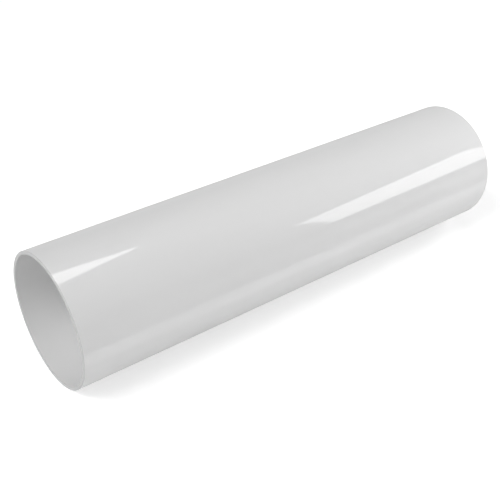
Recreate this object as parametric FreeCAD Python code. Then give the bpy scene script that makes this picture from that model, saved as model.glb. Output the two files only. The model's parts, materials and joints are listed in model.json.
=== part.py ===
import FreeCAD, Part
import os

from FreeCAD import Vector

# Plain-ended drain pipe of white PVC-U: one round tube, extruded in one piece, sawn square at both
# ends and deburred. It lies along X, with the origin on the floor below the middle of its length.

# Driving dimensions, in millimetres
outside_diameter = 110.0  # the size that the pipe goes by, which its fittings seal on
wall = 3.0
length = 430.0
outer_deburr = 0.4  # the 45-degree edge break that is left where the saw burr came off, outside
inner_deburr = 0.4  # the same round the mouth of the bore
largest_deburr_share = 0.45  # of the wall, for each edge, so that a flat sawn ring stays between them

# Sizes that follow from them
outside_radius = outside_diameter / 2
bore_radius = outside_radius - wall
axis_height = outside_radius  # the pipe rests on the floor along one line
half_length = length / 2
outer_break = min(outer_deburr, largest_deburr_share * wall)
inner_break = min(inner_deburr, largest_deburr_share * wall)


def wall_section():
    """The wall cut lengthwise: a long thin strip below the axis, with its four corners broken."""
    sawn_end = [
        (half_length - outer_break, outside_radius),
        (half_length, outside_radius - outer_break),
        (half_length, bore_radius + inner_break),
        (half_length - inner_break, bore_radius),
    ]
    other_end = [(-along, radius) for along, radius in reversed(sawn_end)]
    outline = [Vector(along, 0, axis_height - radius) for along, radius in sawn_end + other_end]
    return Part.Face(Part.makePolygon(outline + outline[:1]))


def drain_pipe():
    """The wall's section turned once round the pipe's axis."""
    axis_point = Vector(0, 0, axis_height)
    along_pipe = Vector(1, 0, 0)
    full_turn = 360
    return wall_section().revolve(axis_point, along_pipe, full_turn)


os.makedirs("parts", exist_ok=True)
drain_pipe().exportStep("parts/drain_pipe.step")
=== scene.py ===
import json
import math

import bpy
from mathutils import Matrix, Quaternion, Vector


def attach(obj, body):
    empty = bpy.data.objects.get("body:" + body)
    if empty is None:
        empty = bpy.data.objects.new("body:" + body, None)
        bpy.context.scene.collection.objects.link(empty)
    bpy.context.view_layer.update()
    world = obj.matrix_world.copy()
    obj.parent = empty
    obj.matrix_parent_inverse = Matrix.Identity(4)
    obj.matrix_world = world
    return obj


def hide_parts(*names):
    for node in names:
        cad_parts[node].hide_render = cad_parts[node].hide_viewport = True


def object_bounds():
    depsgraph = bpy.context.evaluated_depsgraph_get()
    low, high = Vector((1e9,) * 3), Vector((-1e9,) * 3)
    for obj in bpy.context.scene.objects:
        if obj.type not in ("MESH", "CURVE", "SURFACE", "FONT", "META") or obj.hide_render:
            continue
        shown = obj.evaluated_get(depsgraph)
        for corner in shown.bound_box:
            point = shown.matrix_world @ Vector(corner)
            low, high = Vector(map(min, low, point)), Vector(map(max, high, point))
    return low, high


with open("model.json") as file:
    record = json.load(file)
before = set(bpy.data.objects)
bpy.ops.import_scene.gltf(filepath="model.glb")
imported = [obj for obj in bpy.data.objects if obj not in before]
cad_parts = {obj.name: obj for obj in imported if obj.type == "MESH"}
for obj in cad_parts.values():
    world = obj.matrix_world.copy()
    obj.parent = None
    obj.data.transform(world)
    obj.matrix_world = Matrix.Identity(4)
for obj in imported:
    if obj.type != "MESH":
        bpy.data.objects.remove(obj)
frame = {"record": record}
cad_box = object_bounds()

# The pipe
# One length of white PVC-U drain pipe, extruded as a plain round tube with a glossy skin.
# Both ends are sawn square, and the burr is scraped off inside and out.
mounts = {mount["name"]: mount for mount in frame["record"]["mounts"]}
millimetre = 0.001
outside_radius = mounts["outside"]["dims"]["r_mm"] * millimetre
bore_radius = mounts["bore"]["dims"]["r_mm"] * millimetre
axis_height = mounts["bore"]["pos_m"][2]
half_length = cad_box[1].x
rim_rounding = 0.4 * millimetre
steps_round = 256
steps_along = 48
steps_across_rim = 4
steps_in_rounding = 5
SKIN, SAWN_END, BORE = range(3)


def wall_outline():
    """The wall's section, once round: (along, radius, normal along, normal outward, finish) per point."""
    points = []
    quarter_turn = 90
    outward = (0, 1)
    to_far_end = (1, 0)
    inward = (0, -1)
    to_near_end = (-1, 0)

    def straight(start, end, steps, normal, finish):
        """Even steps from start towards end, which is the first point of the next stretch."""
        for step in range(steps):
            share = step / steps
            along = start[0] + (end[0] - start[0]) * share
            radius = start[1] + (end[1] - start[1]) * share
            points.append((along, radius, *normal, finish))

    def scraped_edge(along, radius, start_angle):
        """A rounding over a quarter turn. An angle of 0 degrees faces outward, and 90 the far end."""
        for step in range(steps_in_rounding):
            angle = math.radians(start_angle + quarter_turn * step / steps_in_rounding)
            normal = (math.sin(angle), math.cos(angle))
            edge_along = along + rim_rounding * normal[0]
            edge_radius = radius + rim_rounding * normal[1]
            # The roundings take the sawn finish, and so its painted shade too
            points.append((edge_along, edge_radius, *normal, SAWN_END))

    shoulder = half_length - rim_rounding
    outer = outside_radius - rim_rounding
    inner = bore_radius + rim_rounding
    straight((-shoulder, outside_radius), (shoulder, outside_radius), steps_along, outward, SKIN)
    scraped_edge(shoulder, outer, start_angle=0)
    straight((half_length, outer), (half_length, inner), steps_across_rim, to_far_end, SAWN_END)
    scraped_edge(shoulder, inner, start_angle=90)
    straight((shoulder, bore_radius), (-shoulder, bore_radius), steps_along, inward, BORE)
    scraped_edge(-shoulder, inner, start_angle=180)
    straight((-half_length, inner), (-half_length, outer), steps_across_rim, to_near_end, SAWN_END)
    scraped_edge(-shoulder, outer, start_angle=270)
    return points


def turned_pipe():
    """The section turned round the pipe's axis, with the true normal at every point."""
    outline = wall_outline()
    vertices = []
    normals = []
    for turn in range(steps_round):
        angle = 2 * math.pi * turn / steps_round
        side = math.sin(angle)
        up = math.cos(angle)
        for along, radius, normal_along, normal_out, _ in outline:
            vertices.append((along, radius * side, axis_height + radius * up))
            normals.append((normal_along, normal_out * side, normal_out * up))
    faces = []
    finishes = []
    count = len(outline)
    for turn in range(steps_round):
        this_row = turn * count
        next_row = (turn + 1) % steps_round * count
        for point in range(count):
            after = (point + 1) % count
            faces.append((this_row + point, this_row + after, next_row + after, next_row + point))
            finishes.append(outline[point][-1])
    mesh = bpy.data.meshes.new("drain_pipe_wall")
    mesh.from_pydata(vertices, [], faces)
    mesh.polygons.foreach_set("material_index", finishes)
    mesh.polygons.foreach_set("use_smooth", [True] * len(faces))
    mesh.normals_split_custom_set_from_vertices(normals)
    return mesh


pipe = bpy.data.objects.new("drain_pipe_wall", turned_pipe())
bpy.context.scene.collection.objects.link(pipe)

pvc_ior = 1.5
white_body = (0.77, 0.79)
usual_spread = (0.25, 0.75)


def new_material(name):
    """A node material and its shader."""
    material = bpy.data.materials.new(name)
    material.use_nodes = True
    return material, material.node_tree.nodes["Principled BSDF"]


def set_inputs(node, inputs):
    """Each named or numbered input is set to a value, or joined to another node's output."""
    for socket, value in inputs.items():
        if isinstance(value, bpy.types.NodeSocket):
            node.id_data.links.new(value, node.inputs[socket])
        else:
            node.inputs[socket].default_value = value


def add_node(material, kind, inputs):
    """A new node of this kind in the material, with its inputs set."""
    node = material.node_tree.nodes.new(kind)
    set_inputs(node, inputs)
    return node


def marks(material, size, detail):
    """An uneven pattern of 0 to 1 whose marks have this size in metres: along the pipe, sideways, up."""
    place = add_node(material, "ShaderNodeTexCoord", {})
    stretched = add_node(material, "ShaderNodeMapping", {
        "Vector": place.outputs["Object"], "Scale": [1 / length for length in size]})
    noise = add_node(material, "ShaderNodeTexNoise", {
        "Vector": stretched.outputs["Vector"], "Scale": 1.0, "Detail": detail})
    return noise.outputs["Fac"]


def between(material, pattern, first, last, spread=usual_spread):
    """The pattern's values over a spread, taken to the range from first to last.

    The usual spread holds nearly all the values of a pattern of marks.
    """
    taken = add_node(material, "ShaderNodeMapRange", {
        "Value": pattern, "From Min": spread[0], "From Max": spread[1], "To Min": first, "To Max": last})
    return taken.outputs["Result"]


def relief(material, pattern, height):
    """The normals of a surface that rises and falls by this height in metres with the pattern."""
    bump = add_node(material, "ShaderNodeBump", {"Height": pattern, "Distance": height, "Strength": 1.0})
    return bump.outputs["Normal"]


def glossy_skin():
    """The outside: a white body under a clear coat, with faint lines where the sizing sleeve polished it.

    The coat thins out from square on to glancing, so it mirrors lamps much alike in front and at the edges.
    """
    material, shader = new_material("glossy_white_pvc")
    cloudiness = marks(material, size=(0.12, 0.03, 0.03), detail=3.0)
    sleeve_lines = marks(material, size=(0.30, 0.0016, 0.0016), detail=2.0)
    lined_normal = relief(material, sleeve_lines, height=1e-6)
    # Facing runs from 0 square on to 1 edge on
    glancing = add_node(material, "ShaderNodeLayerWeight", {"Blend": 0.5}).outputs["Facing"]
    thinning_coat = between(material, glancing, 0.93, 0.12, spread=(0.29, 0.73))
    set_inputs(shader, {
        "Base Color": between(material, cloudiness, *white_body),
        "Roughness": between(material, sleeve_lines, 0.52, 0.62),
        "Normal": lined_normal,
        "IOR": pvc_ior,
        "Coat Weight": thinning_coat,
        "Coat IOR": pvc_ior,
        "Coat Roughness": 0.05,
        "Coat Normal": lined_normal})
    return material


def sawn_face_with_painted_shade():
    """The cut ends: dull, with the fine straight scores that the saw left across the wall. Their colour is
    painted darker than the white body's, as painted shade on the end faces and their roundings.
    """
    material, shader = new_material("sawn_pvc_painted_shade")
    saw_scores = marks(material, size=(1.0, 0.02, 0.0004), detail=2.0)
    set_inputs(shader, {
        # painted shade: the base colour sits well below the white body's so the cut ends read darker; the
        # saw scores vary it a little
        "Base Color": between(material, saw_scores, 0.55, 0.60),
        "Roughness": between(material, saw_scores, 0.50, 0.65),
        "Normal": relief(material, saw_scores, height=12e-6),
        "IOR": pvc_ior})
    return material


def bore_face():
    """The inside: formed over the mandrel, so its lines run lengthwise and it is duller than the skin."""
    material, shader = new_material("bore_white_pvc")
    cloudiness = marks(material, size=(0.10, 0.03, 0.03), detail=3.0)
    mandrel_lines = marks(material, size=(0.25, 0.0022, 0.0022), detail=2.0)
    set_inputs(shader, {
        "Base Color": between(material, cloudiness, *white_body),
        "Roughness": between(material, mandrel_lines, 0.30, 0.38),
        "Normal": relief(material, mandrel_lines, height=2e-6),
        "IOR": pvc_ior})
    return material


for material in (glossy_skin(), sawn_face_with_painted_shade(), bore_face()):
    pipe.data.materials.append(material)
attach(pipe, "root")
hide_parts("drain_pipe")

# The floor
# A plain white studio floor that runs out past every view. It keeps the pipe's soft shadow,
# and reads as white in the picture and in reflections.
floor_reach = 12.0
floor_shade = 0.76
floor_lift = 0.51
white = (1, 1, 1, 1)
floor_corners = [
    (-floor_reach, -floor_reach, 0), (floor_reach, -floor_reach, 0),
    (floor_reach, floor_reach, 0), (-floor_reach, floor_reach, 0)]
floor_mesh = bpy.data.meshes.new("floor")
floor_mesh.from_pydata(floor_corners, [], [(0, 1, 2, 3)])
floor = bpy.data.objects.new("floor", floor_mesh)
bpy.context.scene.collection.objects.link(floor)
floor_material, floor_shader = new_material("white_floor")
light_path = add_node(floor_material, "ShaderNodeLightPath", {})
seen_or_mirrored = add_node(floor_material, "ShaderNodeMath", {
    0: light_path.outputs["Is Camera Ray"], 1: light_path.outputs["Is Glossy Ray"]})
seen_or_mirrored.operation = "MAXIMUM"
seen_at_all = add_node(floor_material, "ShaderNodeMath", {
    0: seen_or_mirrored.outputs[0], 1: light_path.outputs["Is Transmission Ray"]})
seen_at_all.operation = "MAXIMUM"
lift = add_node(floor_material, "ShaderNodeMath", {0: seen_at_all.outputs[0], 1: floor_lift})
lift.operation = "MULTIPLY"
set_inputs(floor_shader, {
    "Base Color": (floor_shade, floor_shade, floor_shade, 1),
    "Roughness": 0.9,
    "Specular IOR Level": 0.0,
    "Emission Color": white,
    "Emission Strength": lift.outputs[0]})
floor_mesh.materials.append(floor_material)

# The studio light
# Two softboxes that the skin mirrors, two large far panels that fill from the near end and the front,
# a small lamp beyond the far end, and a dim strip low in front that shows only as a reflection.
# The room round them has pale walls that darken upward to the ceiling.
wall_level = 0.55
ceiling_level = 0.05
ceiling_from = 0.6
world = bpy.data.worlds.new("room")
bpy.context.scene.world = world
world.use_nodes = True
heading = add_node(world, "ShaderNodeTexCoord", {})
parts_of_heading = add_node(world, "ShaderNodeSeparateXYZ", {"Vector": heading.outputs["Generated"]})
room_level = add_node(world, "ShaderNodeMapRange", {
    "Value": parts_of_heading.outputs["Z"], "From Min": 0.0, "From Max": ceiling_from,
    "To Min": wall_level, "To Max": ceiling_level})
room_light = world.node_tree.nodes["Background"]
set_inputs(room_light, {"Color": white, "Strength": room_level.outputs["Result"]})


def softbox(name, centre, aim, size, radiance, turn=0):
    """A flat lamp of even radiance that faces a point and is turned in its own plane by some degrees."""
    width, height = size
    lamp = bpy.data.lights.new(name, "AREA")
    lamp.shape = "RECTANGLE"
    lamp.size = width
    lamp.size_y = height
    lamp.energy = radiance * math.pi * width * height
    holder = bpy.data.objects.new(name, lamp)
    holder.location = centre
    facing = (Vector(aim) - Vector(centre)).to_track_quat("-Z", "Y")
    holder.rotation_mode = "QUATERNION"
    holder.rotation_quaternion = facing @ Quaternion((0, 0, 1), math.radians(turn))
    holder.visible_camera = False
    bpy.context.scene.collection.objects.link(holder)
    return holder


pipe_middle = (0, 0, axis_height)
far_panel_size = (4.8, 2.4)
softbox("top_softbox", centre=(0.12, 0.074, 1.355), aim=(0.12, 0.074, 0),
        size=(0.45, 0.45), radiance=5.0, turn=-39.45)
softbox("side_softbox", centre=(0.926, -0.875, 0.435), aim=(-0.0634, -0.0322, 0.2239),
        size=(0.45, 0.412), radiance=4.4, turn=-3.2)
softbox("near_end_panel", centre=(-5.14, 0, 6.18), aim=pipe_middle, size=far_panel_size, radiance=11.0)
softbox("front_panel", centre=(-5.13, -5.13, 3.43), aim=pipe_middle, size=far_panel_size, radiance=2.5)
softbox("far_end_lamp", centre=(1.02, -0.17, 0.39), aim=(0.2, 0, 0.05), size=(0.3, 0.2), radiance=15.0)
low_strip = softbox("low_strip", centre=(0, -0.105, 0.003), aim=(0, -0.105, 1),
                    size=(0.8, 0.049), radiance=0.85)
low_strip.visible_diffuse = False

# The camera
# It stands where the photograph was taken from, to the front of the near end and above it,
# with a lens of the same reach.
camera = bpy.data.objects.new("camera", bpy.data.cameras.new("camera"))
bpy.context.scene.collection.objects.link(camera)
camera.location = (-0.40847, -0.49277, 0.43954)
look_at = Vector((0.01569, 0.05495, 0.0))
camera.rotation_mode = "QUATERNION"
camera.rotation_quaternion = (look_at - camera.location).to_track_quat("-Z", "Y")
camera.data.sensor_width = 36.0
camera.data.lens = 62.305
bpy.context.scene.camera = camera
bpy.context.scene.view_settings.view_transform = "Standard"
